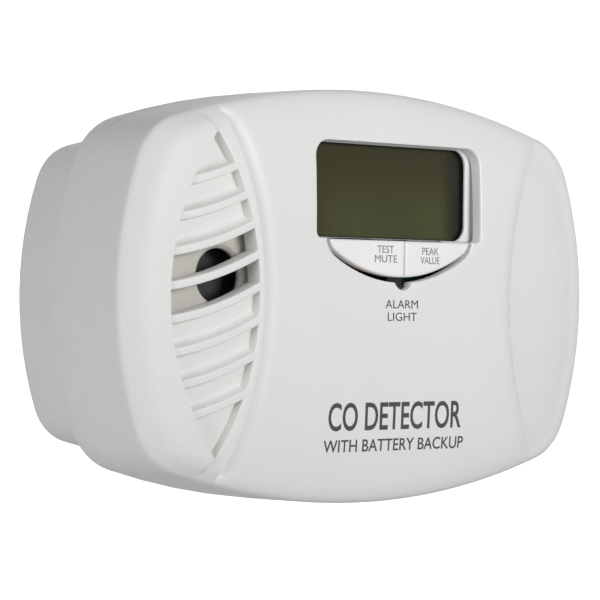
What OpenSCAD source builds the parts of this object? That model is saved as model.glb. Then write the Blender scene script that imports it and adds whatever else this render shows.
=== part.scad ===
// Plug-in carbon monoxide alarm with a display, two lever buttons and a backup battery bay.
// The wall is the plane Y = 0, the front faces -Y, Z is up. All sizes are in millimetres.
// A depth is always measured from the wall towards the front.

/* [Body] */
// Overall width of the two covers
body_w = 132; // [126:1:160]
// Overall height of the two covers
body_h = 86; // [86:1:106]
// Depth from the wall to the crown of the front cover
body_d = 48; // [47:0.5:56]
// Radius of the long arcs along the top and the bottom
top_r = 180; // [150:5:260]
// Radius of the arcs down the two sides
side_r = 75; // [68:1:110]
// Radius of the four corners
corner_r = 14; // [11:1:20]
// How far the front face bulges beyond the straight flank
crown = 6; // [4:0.5:7]
// Wall of the front cover
front_wall = 2.4; // [2:0.1:3]
// Wall of the rear cover
rear_wall = 2.2; // [1.8:0.1:2.8]
// Depth of the narrower box that stands against the wall
box_d = 23; // [21:0.5:25]
// Step from the rim in to the box, left and right
box_step_x = 8.5; // [7:0.5:12]
// Step from the rim in to the box, top and bottom
box_step_z = 5.75; // [5:0.25:6.5]
// Depth of the seam between the covers
seam_d = 29; // [28:0.5:30]

/* [Grille] */
// Distance of the grille's centre from the left side of the body
grille_inset = 21.8; // [20:0.1:24]
// Radius of the grille's left edge
grille_left_r = 49.5; // [44:0.1:54]
// Radius of the grille's right edge
grille_right_r = 55.9; // [48:0.1:60]
// Width of the grille at its middle
grille_w = 22; // [16:0.1:23]
// Number of bars
bar_count = 8; // [6:1:8]
// Distance from one bar to the next
bar_pitch = 6.57; // [6:0.01:7.2]
// Thickness of a bar, up and down
bar_t = 1.7; // [1.2:0.1:2.2]
// Radius of the curve of a bar
bar_r = 75.5; // [60:0.5:120]
// How deep the pockets between the bars are, below the middle of the face
pocket_depth = 2.6; // [2:0.1:4]

/* [Display] */
// Distance of the display's centre right of the body's centre
display_x = 6.1; // [4:0.1:10]
// Height of the display's lower edge above the body's centre
display_z = 12.1; // [11:0.1:14]
// Width of the part of the display that shows
display_w = 44.9; // [40:0.1:56]
// Height of the part of the display that shows
display_h = 19.5; // [18:0.1:21]
// Width of the opening in the front cover beyond the display, each side
display_reveal = 1.2; // [1:0.1:2.5]
// Corner radius of the display's opening
display_r = 3.5; // [2:0.1:5]

/* [Buttons] */
// Radius of the curved lower edge of the button opening
smile_r = 36; // [31:0.1:40]
// How far the button opening reaches below the display
smile_h = 9.1; // [8:0.1:9.5]
// Half width of the button opening
smile_half = 21; // [20:0.1:22]
// Gap between the two buttons
button_split = 0.4; // [0.3:0.1:0.8]
// Thickness of a button's plate
button_t = 2.3; // [1.8:0.1:2.6]
// Radius of the pivot moulded on each button
pivot_r = 0.8; // [0.6:0.05:0.9]
// Distance of each switch from the middle of the display
switch_x = 8; // [6.5:0.1:10]

/* [Wall plug] */
// Radius of the hole that the turning plug sits in
plug_hole_r = 14; // [12:0.1:14.5]
// Width of a blade
blade_w = 6.35; // [6.3:0.01:6.4]
// Thickness of a blade
blade_t = 1.52; // [1.4:0.01:1.6]
// Distance between the middles of the two blades
blade_pitch = 12.7; // [12.7:0.01:12.7]
// Length of the blades beyond the wall plane
blade_len = 17; // [15.9:0.1:18.3]

/* [Battery bay] */
// Radius of an AA cell
cell_r = 7.25; // [6.9:0.05:7.25]
// Length of an AA cell with its button end
cell_len = 50.5; // [44:0.1:62]
// Room at each cell's flat end for its spring
spring_room = 7.2; // [6:0.1:9]
// Radius of the door's hinge pin
hinge_pin_r = 0.75; // [0.6:0.05:0.9]
// Thickness of the door
door_t = 1.8; // [1.5:0.1:2]

/* [Horn and sensor] */
// Outer radius of the horn's housing
horn_r = 15.5; // [13:0.1:15.6]
// Radius of the horn's sound port
port_r = 5.5; // [4:0.1:7]
// Radius of the gas sensor's can
sensor_r = 7.25; // [6:0.05:7.5]
// Height of the gas sensor
sensor_h = 9.6; // [8:0.1:9.8]

/* [Fasteners and clearances] */
// Thread radius of the cover screws
screw_r = 1.5; // [1.2:0.05:1.6]
// Thread radius of the board and retainer screws
small_screw_r = 1.1; // [0.9:0.05:1.2]
// Thickness of the circuit board
board_t = 1.6; // [1:0.1:2]
// Running clearance round pins, pivots and the plug
run_gap = 0.05; // [0.02:0.01:0.08]
// Gap round the battery door
door_gap = 0.3; // [0.2:0.05:0.4]
// Gap between parts that must not touch
free_gap = 0.2; // [0.15:0.05:0.3]

/* [Hidden] */
$fn = 64;

past = 1;                                    // how far a cut runs past a face
turn = 360;
steps = 6;                                   // points along each arc of a quarter outline

// Covers
crown_d = body_d - crown;                    // where the flank ends and the crown begins
draft = 0.2;                                 // how much the flank leans in by there
crown_side = 2 / 3.7;                        // powers of the crown's profile
crown_top = 2 / 2.96;
crown_turns = [0, 14, 28, 42, 56, 70, 82];
face_d = crown_d + crown * pow(sin(crown_turns[6]), crown_top);   // the face at its middle
lip_h = 1.8;                                 // alignment lip of the rear cover
lip_t = 1.4;
rim_in = front_wall + free_gap + lip_t;      // inner side of the rim and the lip
post_x = body_w / 2 - 19;
post_z = body_h / 2 - 21;
post_r = 4;
boss_r = 3.5;
head_d = 20;                                 // depth of the seat of a cover screw's head
head_r = 2.7;
head_h = 2;
screw_end_d = 39;
pry_notch = [-21.3, 3.4, 1.2];               // centre, width and height of the pry notch

// Circuit board
board_d = seam_d + 2;                        // rear face
board_front = board_d + board_t;
board_wing = post_z - post_r - 1;            // half height of the board beside the posts
standoff_r = 2.75;
small_head_r = 2.2;
small_head_h = 1.5;

// Grille
grille_x = -body_w / 2 + grille_inset;
lens_left_x = grille_x - grille_w / 2 + grille_left_r;
lens_right_x = grille_x + grille_w / 2 - grille_right_r;
bar_x = grille_x - 22.1;                     // centre line of the bars' curves
bar_first = 23.7;                            // height of the first bar's top edge at bar_mark
bar_mark = grille_x - 3.2;
bar_rise = sqrt(bar_r * bar_r - pow(bar_mark - bar_x, 2));
pocket_d = body_d - pocket_depth;
backing_d = pocket_d - 1.4;
open_gaps = [3, 4];                          // bars above the two gaps that go right through

// Display and buttons
opening_w = display_w + 2 * display_reveal;
low_corner_r = 1.2;                          // tighter corners at the opening's lower edge
display_mid_z = display_z + display_h / 2;
smile_z = display_z - smile_h + smile_r;
frame_w = display_w + 6.7;
frame_low = display_z - 2.7;
frame_top = display_z + display_h + 1.5;
holder_d = board_front;
bezel_d = body_d - front_wall - 4.4;         // rear face of the bezel
glass_d = bezel_d - 1;
glass_t = 2;
window_d = glass_d + glass_t + 0.1;
window_t = 0.6;
bezel_front = window_d + window_t + 0.6;
glass_w = display_w + 5.1;
glass_low = frame_low + 0.9;
glass_top = frame_top - 0.8;
pivot_z = display_z - 1.6;
pivot_d = bezel_front + 0.2;
button_d = pivot_d + 1.4;
rail_d = button_d - 0.15;                    // front of the bezel's lower rail
rail_low = display_z - 3.2;
smile_end_r = 5;                             // round ends of the button opening
button_gap = 0.6;                            // between the buttons and the opening's ends
button_r = smile_r - 0.2;                    // lower edge of the buttons
button_z = smile_z + 0.9;
switch_z = pivot_z - 3.6;
switch_w = 4.5;
switch_h = 3.6;
actuator_d = button_d - 3.4;
plunger_r = 1.6;
notch_r = 2.7;
notch_x = display_x + 0.8;                   // also where the two buttons meet
notch_z = smile_z - smile_r + 1.2;

// Horn
horn_x = grille_x + 4.4;
horn_z = 3.7;
horn_d = backing_d - 1;                      // front face of the horn's housing
horn_wall = 1.6;
piezo_d = horn_d - 5.4;

// Wall plug
back_h = body_h - 2 * box_step_z;
back_w = body_w - 2 * box_step_x;
plug_z = 17;
disc_r = plug_hole_r - run_gap;
flange_r = plug_hole_r + 1.5;
flange_d = rear_wall + free_gap;
flange_t = 2.2;
disc_top = flange_d + flange_t + 0.4;
retainer_d = flange_d + flange_t + free_gap;
retainer_t = 2;
ear_x = plug_hole_r + 6.5;
tab_turn = 45;                               // where the stop tab is with the blades upright
tab_half = 5.5;
stop_turn = 7;                               // start of a stop block beyond the tab's middle
arc_half = 55;                               // half angle of a contact plate
arc_r = [5.4, 9.5];
plate_t = 0.45;

// Battery bay
cell_pitch = 2 * cell_r + 0.5;
well_w = cell_len + spring_room + 1.3;
well_top = -1.9;
well_h = cell_pitch + 2 * cell_r + 0.6;
well_low = well_top - well_h;
well_d = 2 * cell_r + 2.8;
well_wall = 1.5;
cell_d = well_d - 0.3 - cell_r;
cell_z = [for (i = [0, 1]) well_top - 0.3 - cell_r - i * cell_pitch];
contact_t = 0.4;
dimple_h = 0.5;
tab_len = 3.7;
door_top = well_top + 0.8;
door_low = well_low - 0.8;
door_right = well_w / 2 + 1.6;
door_d = 0.3;
door_mid = (door_top + door_low) / 2;
knuckle_r = 1.5;
hinge_x = -well_w / 2 - 2;
hinge_d = door_d + knuckle_r;
knuckle_len = 6;
knuckle_z = [door_mid + 9.5, door_mid - 9.5];
panel_left = hinge_x + knuckle_r + door_gap;

// Points on the rear side of the board
standoff_x = max(post_x - 9, display_x + frame_w / 2 + standoff_r + free_gap);
standoffs = [[grille_x + 11, post_z + 4], [standoff_x, post_z + 4], [post_x - 9, -post_z - 4],
  [display_x - 22, -post_z - 4]];

// Where the corner circle of an outline has its centre, in the upper right quarter
function corner_centre(w, h, rt, rs, rc) =
  let (a = [0, h / 2 - rt], b = [w / 2 - rs, 0], ra = rt - rc, rb = rs - rc)
  let (gap = norm(b - a), u = (b - a) / gap, t = (gap * gap + ra * ra - rb * rb) / (2 * gap))
  a + t * u + sqrt(ra * ra - t * t) * [u.y, -u.x];

// A quarter of an outline, from the middle of the right side to just before the top
function quarter(w, h, rt, rs, rc) =
  let (c = corner_centre(w, h, rt, rs, rc))
  let (low = atan2(c.y, c.x - (w / 2 - rs)), high = atan2(c.y - (h / 2 - rt), c.x))
  concat(
    [for (i = [0:steps - 1]) let (t = low * i / steps)
      [w / 2 - rs + rs * cos(t), rs * sin(t)]],
    [for (i = [0:steps - 1]) let (t = low + (high - low) * i / steps)
      c + rc * [cos(t), sin(t)]],
    [for (i = [0:steps - 1]) let (t = high + (90 - high) * i / steps)
      [rt * cos(t), h / 2 - rt + rt * sin(t)]]);

// A closed outline of long arcs and round corners
function outline(w, h, rt, rs, rc) =
  let (q = quarter(w, h, rt, rs, rc), m = len(q))
  concat(q, [[0, h / 2]], [for (i = [m - 1:-1:1]) [-q[i].x, q[i].y]], [[-w / 2, 0]],
    [for (i = [1:m - 1]) -q[i]], [[0, -h / 2]], [for (i = [m - 1:-1:1]) [q[i].x, -q[i].y]]);

function body_outline(inset) = outline(body_w - 2 * inset, body_h - 2 * inset,
  top_r - inset, side_r - inset, corner_r - inset);
function box_outline(inset) = outline(back_w - 2 * inset, back_h - 2 * inset,
  top_r - 13 - inset, side_r - 5 - inset, corner_r - 3 - inset);

// One ring of points at a depth, scaled about the middle
function ring(points, scale, depth) = [for (p = points) [p.x * scale, -depth, p.y * scale]];

// The rings of a cover's outside or inside, from the seam to the crown
function cover_rings(inset, from) =
  let (flank = body_outline(inset), lean = body_outline(inset + draft))
  concat([ring(flank, 1, from)],
    [for (t = crown_turns) ring(lean, pow(cos(t), crown_side),
      crown_d - inset + crown * pow(sin(t), crown_top))]);

// A closed solid through rings of equally many points
module loft(rings) {
  n = len(rings[0]);
  last = len(rings) - 1;
  sides = [for (k = [0:last - 1]) for (j = [0:n - 1]) for (s = [0, 1])
    let (a = k * n + j, b = k * n + (j + 1) % n) s == 0 ? [a, a + n, b + n] : [a, b + n, b]];
  polyhedron([for (r = rings) each r],
    concat(sides, [[for (j = [0:n - 1]) j]], [[for (j = [n - 1:-1:0]) last * n + j]]));
}

// A wire swept along a route, with its ends closed; up is any direction the route never takes
module wire(route, r, sides, up) {
  n = len(route);
  way = [for (i = [0:n - 1]) route[min(i + 1, n - 1)] - route[max(i - 1, 0)]];
  rings = [for (i = [0:n - 1])
    let (u = cross(way[i], up), a = u / norm(u), v = cross(way[i], a), b = v / norm(v))
    [for (j = [0:sides - 1]) let (t = turn * j / sides)
      route[i] + r * (cos(t) * a + sin(t) * b)]];
  faces = [for (k = [0:n - 2]) for (j = [0:sides - 1]) for (s = [0, 1])
    let (p = k * sides + j, q = k * sides + (j + 1) % sides)
    s == 0 ? [p, q + sides, p + sides] : [p, q, q + sides]];
  polyhedron([for (r = rings) each r], concat(faces, [[for (j = [sides - 1:-1:0]) j]],
    [[for (j = [0:sides - 1]) (n - 1) * sides + j]]));
}

// A flat shape in X and Z, standing between two depths
module slab(d0, d1) translate([0, -d0, 0]) rotate([90, 0, 0]) linear_extrude(d1 - d0) children();
// A box between two depths
module block(x0, x1, d0, d1, z0, z1) translate([x0, -d1, z0]) cube([x1 - x0, d1 - d0, z1 - z0]);
// A cylinder that points at the wall
module rod(x, z, d0, d1, r) slab(d0, d1) translate([x, z]) circle(r);
// A cylinder along X
module axle(x0, x1, d, z, r) translate([x0, -d, z]) rotate([0, 90, 0]) cylinder(h = x1 - x0, r = r);
// A cylinder along Z
module upright(x, d, z0, z1, r) translate([x, -d, z0]) cylinder(h = z1 - z0, r = r);

// A rectangle with round corners, centred
module rounded(w, h, r) {
  square([w, h - 2 * r], center = true);
  square([w - 2 * r, h], center = true);
  for (x = [-1, 1]) for (y = [-1, 1]) translate([x * (w / 2 - r), y * (h / 2 - r)]) circle(r);
}

// A sector of a ring about the plug's axis
module arc_band(r0, r1, from, to) {
  span = (to - from) / 4;
  intersection() {
    difference() {
      circle(r1);
      circle(r0);
    }
    polygon(concat([[0, 0]],
      [for (i = [0:4]) 2 * r1 * [cos(from + i * span), sin(from + i * span)]]));
  }
}

module post_places() for (x = [-post_x, post_x]) for (z = [-post_z, post_z]) translate([x, 0, z]) children();

// Outline of the grille: the lens where two discs cross
module grille_lens(grow) intersection() {
  translate([lens_left_x, 0]) circle(grille_left_r + grow, $fn = 128);
  translate([lens_right_x, 0]) circle(grille_right_r + grow, $fn = 128);
}

// A curved band between two heights measured at bar_mark
module bar_band(top, low) translate([bar_x, top + bar_rise]) difference() {
  circle(bar_r + top - low, $fn = 128);
  circle(bar_r, $fn = 128);
}

module grille_bars() for (k = [0:bar_count - 1]) {
  top = bar_first - k * bar_pitch;
  bar_band(top, top - bar_t);
}

// The opening for the buttons: the part of a disc under the display, with round ends
module smile(r, z, top, half, end_r) translate([display_x, z]) intersection() {
  inner = half - end_r;
  drop = sqrt(pow(r - end_r, 2) - inner * inner);
  join = inner * r / (r - end_r);            // where an end meets the disc's edge
  circle(r, $fn = 128);
  translate([-r, -r]) square([2 * r, top - z + r]);
  union() {
    translate([-join, -r]) square([2 * join, r]);
    translate([-half, -drop]) square([2 * half, drop]);
    for (s = [-1, 1]) translate([s * inner, -drop]) circle(end_r);
  }
}

module front_cover() color("#ecece8") difference() {
  loft(cover_rings(0, seam_d));
  difference() {
    loft(cover_rings(front_wall, seam_d - past));
    slab(backing_d, body_d) grille_lens(1.5);
    slab(bezel_front, body_d) translate([display_x, (display_z + frame_top) / 2]) {
      square([frame_w, frame_top - display_z], center = true);
    }
    post_places() rod(0, 0, seam_d, body_d, boss_r);
    for (s = standoffs) rod(s.x, s.y, board_front, body_d, standoff_r);
  }
  slab(pocket_d, body_d + past) difference() {
    grille_lens(0);
    grille_bars();
  }
  slab(backing_d - past, body_d + past) intersection() {
    grille_lens(0);
    for (k = open_gaps) {
      top = bar_first - (k - 1) * bar_pitch - bar_t;
      bar_band(top, top - bar_pitch + bar_t);
    }
  }
  slab(crown_d - 4, body_d + past) {
    translate([display_x, display_mid_z]) rounded(opening_w, display_h + 0.4, display_r);
    translate([display_x, display_z + 4]) rounded(opening_w, 8.4, low_corner_r);
    smile(smile_r, smile_z, display_z + 1, smile_half, smile_end_r);
    translate([notch_x, notch_z]) circle(notch_r);
  }
  post_places() rod(0, 0, seam_d - past, screw_end_d + past, screw_r);
  for (s = standoffs) rod(s.x, s.y, board_front - past, board_front + 7, small_screw_r);
  block(pry_notch[0] - pry_notch[1] / 2, pry_notch[0] + pry_notch[1] / 2,
    crown_d - 2, crown_d + 1, -body_h / 2 - past, -body_h / 2 + pry_notch[2]);
}

module rear_cover() color("#e6e6e2") difference() {
  union() {
    difference() {
      union() {
        rear_shell();
        well_block();
      }
      battery_recess();
    }
    hinge_lugs();
    plug_stops();
    for (x = [-ear_x, ear_x]) rod(x, plug_z, rear_wall - 0.1, retainer_d, 2.5);
    post_places() rod(0, 0, 0, seam_d, post_r);
  }
  rod(0, plug_z, -past, rear_wall + past, plug_hole_r);
  for (x = [-ear_x, ear_x]) rod(x, plug_z, rear_wall / 2, retainer_d + past, small_screw_r);
  post_places() rod(0, 0, -past, seam_d + past, screw_r + free_gap);
  post_places() rod(0, 0, -past, head_d, head_r + free_gap);
  upright(hinge_x, hinge_d, door_low, door_top, hinge_pin_r);
  for (z = cell_z) contact_slits(z);
}

// Back, sides and rim with its alignment lip
module rear_shell() {
  difference() {
    slab(0, box_d + rear_wall) polygon(box_outline(0));
    slab(rear_wall, box_d + rear_wall + past) polygon(box_outline(rear_wall));
  }
  difference() {
    slab(box_d, seam_d) polygon(body_outline(0));
    slab(box_d - past, seam_d) polygon(box_outline(rear_wall / 2));
    slab(box_d + rear_wall, seam_d + past) polygon(body_outline(rim_in));
  }
  difference() {
    slab(seam_d - 1, seam_d + lip_h) polygon(body_outline(front_wall + free_gap));
    slab(seam_d - 1 - past, seam_d + lip_h + past) polygon(body_outline(rim_in));
  }
}

// Solid block that the battery bay and the hinge are cut out of
module well_block() {
  block(-well_w / 2 - well_wall, well_w / 2 + well_wall, 0, well_d + well_wall,
    well_low - well_wall, well_top + well_wall / 2);
  block(hinge_x - 3.7, -well_w / 2, 0, hinge_d + 3.6, well_low - well_wall, well_top + well_wall / 2);
}

module battery_recess() {
  block(-well_w / 2, well_w / 2, -past, well_d, well_low, well_top);
  block(panel_left - door_gap, door_right + door_gap, -past, door_d + door_t + free_gap,
    door_low - door_gap, door_top + door_gap);
  block(hinge_x - knuckle_r - 0.15, -well_w / 2 + 0.1, -past, hinge_d + knuckle_r + free_gap,
    door_low - door_gap, door_top + door_gap);
}

// The lugs that hold the hinge pin above, between and below the door's knuckles
module hinge_lugs() {
  gap = knuckle_len / 2 + door_gap;
  spans = [[door_top, knuckle_z[0] + gap], [knuckle_z[0] - gap, knuckle_z[1] + gap],
    [knuckle_z[1] - gap, door_low]];
  for (s = spans) {
    upright(hinge_x, hinge_d, s[1], s[0], knuckle_r);
    block(hinge_x - knuckle_r, hinge_x + knuckle_r, hinge_d, hinge_d + knuckle_r + 1, s[1], s[0]);
  }
  for (z = [door_top, door_low - door_gap]) {
    block(hinge_x - knuckle_r, hinge_x + knuckle_r, hinge_d, hinge_d + knuckle_r + 1, z, z + door_gap);
  }
}

// Two blocks that stop the plug's tab a quarter turn apart
module plug_stops() {
  reach = tab_turn + stop_turn;
  slab(rear_wall - 0.1, flange_d + flange_t) translate([0, plug_z]) {
    arc_band(flange_r + 0.3, flange_r + 2.2, reach, reach + 8);
    arc_band(flange_r + 0.3, flange_r + 2.2, -reach - 8, -reach);
  }
}

module contact_slits(z) {
  for (s = [-1, 1]) {
    block(s * (well_w / 2 - contact_t / 2) - 0.3, s * (well_w / 2 - contact_t / 2) + 0.3,
      well_d - 0.5, well_d + well_wall + past, z - 1.7, z + 1.7);
  }
}

module cover_screws() color("#9a9c9e") post_places() difference() {
  union() {
    rod(0, 0, head_d - head_h, head_d, head_r);
    rod(0, 0, head_d - 0.1, screw_end_d, screw_r);
  }
  for (a = [0, 90]) translate([0, -head_d + head_h, 0]) rotate([0, a, 0]) {
    cube([3, 2, 0.7], center = true);
  }
}

// Bezel round the display, with the rail that carries the buttons' pivots
module display_bezel() color("#e4e6e4") difference() {
  union() {
    slab(bezel_d, bezel_front) translate([display_x, (frame_low + frame_top) / 2]) {
      rounded(frame_w, frame_top - frame_low, 1);
    }
    block(display_x - opening_w / 2 + 1.6, display_x + opening_w / 2 - 1.6, window_d + 0.1, rail_d,
      rail_low, display_z);
  }
  slab(window_d, bezel_front + past) translate([display_x, display_mid_z]) {
    rounded(display_w, display_h, display_r);
  }
  slab(bezel_d - past, window_d) translate([display_x, (glass_low + glass_top) / 2]) {
    square([glass_w + 0.2, glass_top - glass_low + 0.2], center = true);
  }
  slab(window_d - past, window_d + window_t) translate([display_x, display_mid_z + 0.4]) {
    square([display_w + 3.2, display_h + 1.6], center = true);
  }
  for (s = [-1, 1]) {
    middle = display_x + s * (switch_x + 2);
    axle(middle - 6, middle + 6, pivot_d, pivot_z, pivot_r + run_gap);
    for (e = [-1, 1]) pivot_pocket(middle + e * 4.5);
  }
}

module pivot_pocket(x) {
  block(x - 1.5, x + 1.5, window_d - past, rail_d + past, rail_low + 0.7, pivot_z + 1.25);
}

module display_window() color("#8f9088", 0.6) {
  slab(window_d, window_d + window_t) translate([display_x, display_mid_z + 0.4]) {
    square([display_w + 3, display_h + 1.4], center = true);
  }
}

module lcd_panel() color("#4c4b2d") {
  slab(glass_d, glass_d + glass_t) translate([display_x, (glass_low + glass_top) / 2]) {
    square([glass_w, glass_top - glass_low], center = true);
  }
}

module lcd_holder() color("#f2f2f0") difference() {
  slab(holder_d, bezel_d) translate([display_x, (frame_low + frame_top) / 2]) {
    rounded(frame_w, frame_top - frame_low, 1);
  }
  slab(glass_d, bezel_d + past) translate([display_x, (glass_low + glass_top) / 2]) {
    square([glass_w + 0.2, glass_top - glass_low + 0.2], center = true);
  }
  slab(holder_d - past, glass_d + past) {
    translate([display_x, (glass_low + glass_top) / 2]) {
      square([glass_w - 3, glass_top - glass_low - 0.6], center = true);
    }
  }
}

// Conductive rubber strip from the board to the glass
module lcd_connector() color("#2c2c2e") {
  block(display_x - glass_w / 2 + 3, display_x + glass_w / 2 - 3, board_front, glass_d,
    glass_low + 0.5, glass_low + 2);
}

// One lever button: side is -1 for the left one and 1 for the right one
module lever(side) {
  middle = display_x + side * (switch_x + 2);
  slab(button_d, button_d + button_t) intersection() {
    smile(button_r, button_z, display_z - 0.4, smile_half - button_gap, smile_end_r - button_gap);
    translate([notch_x + (side < 0 ? -button_r : button_split / 2), 0]) {
      square([button_r - button_split / 2, display_z]);
    }
  }
  axle(middle - 5, middle + 5, pivot_d, pivot_z, pivot_r);
  for (e = [-1, 1]) {
    block(middle + e * 4.4 - 0.7, middle + e * 4.4 + 0.7, pivot_d, button_d + 0.1,
      pivot_z - pivot_r, pivot_z + pivot_r);
    axle(middle + e * 4.4 - 0.7, middle + e * 4.4 + 0.7, pivot_d, pivot_z, pivot_r + 0.1);
  }
  rod(display_x + side * switch_x, switch_z, actuator_d, button_d + 0.1, 1);
}

module test_button() color("#f6f6f4") lever(-1);
module peak_button() color("#f6f6f4") lever(1);

// Two small push switches with guide bores for their plungers
module switch_bodies() color("#3a3b3d") for (s = [-1, 1]) difference() {
  translate([display_x + s * switch_x, 0, switch_z]) {
    block(-switch_w / 2, switch_w / 2, board_front, board_front + switch_h, -switch_w / 2, switch_w / 2);
  }
  rod(display_x + s * switch_x, switch_z, board_front + 1.6, board_front + switch_h + past,
    plunger_r + run_gap);
}

module plunger(side) {
  rod(display_x + side * switch_x, switch_z, board_front + 2.4, actuator_d - 0.1, plunger_r);
}
module test_plunger() color("#b8352c") plunger(-1);
module peak_plunger() color("#b8352c") plunger(1);

module alarm_led() color("#c93a34") {
  rod(notch_x, notch_z - 0.4, board_front, board_front + 1, 1.9);
  rod(notch_x, notch_z - 0.4, board_front + 0.9, board_front + 4.6, 1.5);
  translate([notch_x, -board_front - 4.6, notch_z - 0.4]) sphere(1.5);
}

module alarm_light_pipe() color("#d6d8d6") difference() {
  union() {
    rod(notch_x, notch_z - 0.4, board_front + 5.6, button_d - 0.6, 2.2);
    block(notch_x - 4.5, notch_x + 4.5, button_d - 1.4, face_d - front_wall, notch_z - 6, notch_z - 1.8);
  }
  rod(notch_x, notch_z - 0.4, board_front + 5, board_front + 6.6, 1.7);
}

module circuit_board() color("#2d6b45") difference() {
  slab(board_d, board_front) {
    square([2 * (post_x - post_r - 1), body_h - 26], center = true);
    square([2 * (post_x + 4), 2 * board_wing], center = true);
  }
  for (s = standoffs) rod(s.x, s.y, board_d - past, board_front + past, small_screw_r + free_gap);
}

module board_screws() color("#9a9c9e") for (s = standoffs) {
  rod(s.x, s.y, board_d - small_head_h, board_d, small_head_r);
  rod(s.x, s.y, board_d - 0.1, board_front + 6, small_screw_r);
}

module microcontroller() color("#26272a") {
  block(-8, 4, board_d - 1.7, board_d - 0.3, -16, -4);
  for (i = [0:7]) for (s = [-1, 1]) {
    block(-7.5 + i * 1.5, -7 + i * 1.5, board_d - 1, board_d, -10 + s * 6.5 - 0.7, -10 + s * 6.5 + 0.7);
  }
}

module film_capacitor() color("#d7b23c") {
  block(22, 40, board_d - 14, board_d - 0.6, 6, 14);
  for (x = [24.5, 37.5]) rod(x, 10, board_d - 0.7, board_d, 0.4);
}

module electrolytic_capacitors() color("#343a52") {
  rod(-26, 12, board_d - 13, board_d, 5);
  rod(-38, 2, board_d - 11, board_d, 4);
}

module varistor() color("#2f62a8") {
  axle(36, 39.5, board_d - 6, -6, 5);
  for (z = [-8.5, -3.5]) rod(37.75, z, board_d - 5, board_d, 0.4);
}

module fuse() color("#cfd2c8") {
  axle(-8, 12, board_d - 4, 26, 2.2);
  for (x = [-8, 7]) {
    axle(x, x + 5, board_d - 4, 26, 2.6);
    block(x + 2, x + 3, board_d - 4, board_d, 25.5, 26.5);
  }
}

module horn_coil() color("#1f2022") {
  rod(-24, -10, board_d - 9, board_d - 7.5, 4.4);
  rod(-24, -10, board_d - 7.6, board_d - 1.4, 3.2);
  rod(-24, -10, board_d - 1.5, board_d, 4.4);
}

// Cup with the sound port in its flat front
module horn_housing() color("#cdccc0") difference() {
  rod(horn_x, horn_z, board_front + 1, horn_d, horn_r);
  rod(horn_x, horn_z, board_front, horn_d - horn_wall, horn_r - 3);
  rod(horn_x, horn_z, board_front, piezo_d, horn_r - horn_wall);
  rod(horn_x, horn_z, horn_d - horn_wall - past, horn_d + past, port_r);
  translate([horn_x, -horn_d - 0.01, horn_z]) rotate([-90, 0, 0]) {
    cylinder(h = 0.8, r1 = port_r + 0.8, r2 = port_r);
  }
}

module horn_base() color("#3b3b3d") {
  rod(horn_x, horn_z, board_front + 1, board_front + 2.4, horn_r - horn_wall);
  for (a = [0:120:240]) {
    rod(horn_x + 8 + 3 * cos(a), horn_z + 3 * sin(a), board_front, board_front + 1.1, 0.5);
  }
}

module piezo_disc() color("#c8a64a") {
  rod(horn_x, horn_z, piezo_d - 0.3, piezo_d, horn_r - horn_wall);
  rod(horn_x, horn_z, piezo_d - 0.6, piezo_d - 0.25, horn_r - 6);
}

module co_sensor() color("#b9bbbd") difference() {
  union() {
    rod(grille_x + 11, -post_z, board_front, board_front + 2, sensor_r - 0.5);
    rod(grille_x + 11, -post_z, board_front + 1.9, board_front + sensor_h, sensor_r);
  }
  rod(grille_x + 11, -post_z, board_front + sensor_h - 1, board_front + sensor_h + past, 1.6);
}

module plug_disc() color("#e2e2de") difference() {
  union() {
    rod(0, plug_z, door_d, flange_d + 0.1, disc_r);
    rod(0, plug_z, flange_d, flange_d + flange_t, flange_r);
    rod(0, plug_z, flange_d, disc_top, plug_hole_r - 1.2);
    slab(flange_d, flange_d + flange_t) translate([0, plug_z]) {
      arc_band(flange_r - past, flange_r + 1.5, tab_turn - tab_half, tab_turn + tab_half);
    }
  }
  for (s = [-1, 1]) translate([s * blade_pitch / 2, 0, plug_z]) {
    block(-blade_t / 2, blade_t / 2, -past, disc_top + past, -blade_w / 2, blade_w / 2);
  }
  rod(0, plug_z, -past, door_d + 0.8, 2.5);
}

// Flat blades with rounded ends, each with the hole that outlets can grip
module plug_blades() color("#c9b27a") for (s = [-1, 1]) translate([s * blade_pitch / 2, 0, plug_z]) {
  difference() {
    union() {
      block(-blade_t / 2, blade_t / 2, -blade_len + 2, disc_top, -blade_w / 2, blade_w / 2);
      block(-blade_t / 2, blade_t / 2, -blade_len, -blade_len + 2, -blade_w / 2 + 1, blade_w / 2 - 1);
    }
    axle(-blade_t, blade_t, -blade_len + 5.2, 0, 1.6);
  }
}

// Curved plates that keep touching the fixed wipers as the plug turns
module plug_contacts() color("#c08a55") slab(disc_top, disc_top + plate_t) translate([0, plug_z]) {
  for (a = [0, 180]) arc_band(arc_r[0], arc_r[1], a - arc_half, a + arc_half);
}

module plug_retainer() color("#d9d9d4") difference() {
  slab(retainer_d, retainer_d + retainer_t) translate([0, plug_z]) {
    circle(plug_hole_r + 3);
    for (x = [-ear_x, ear_x]) translate([x, 0]) circle(3.2);
    square([2 * ear_x, 6.4], center = true);
  }
  rod(0, plug_z, retainer_d - past, retainer_d + retainer_t + past, plug_hole_r - 1);
  for (x = [-ear_x, ear_x]) {
    rod(x, plug_z, retainer_d - past, retainer_d + retainer_t + past, small_screw_r + free_gap);
  }
}

module retainer_screws() color("#9a9c9e") for (x = [-ear_x, ear_x]) {
  top = retainer_d + retainer_t;
  rod(x, plug_z, top, top + small_head_h, small_head_r);
  rod(x, plug_z, rear_wall / 2 + 0.6, top + 0.1, small_screw_r);
}

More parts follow.
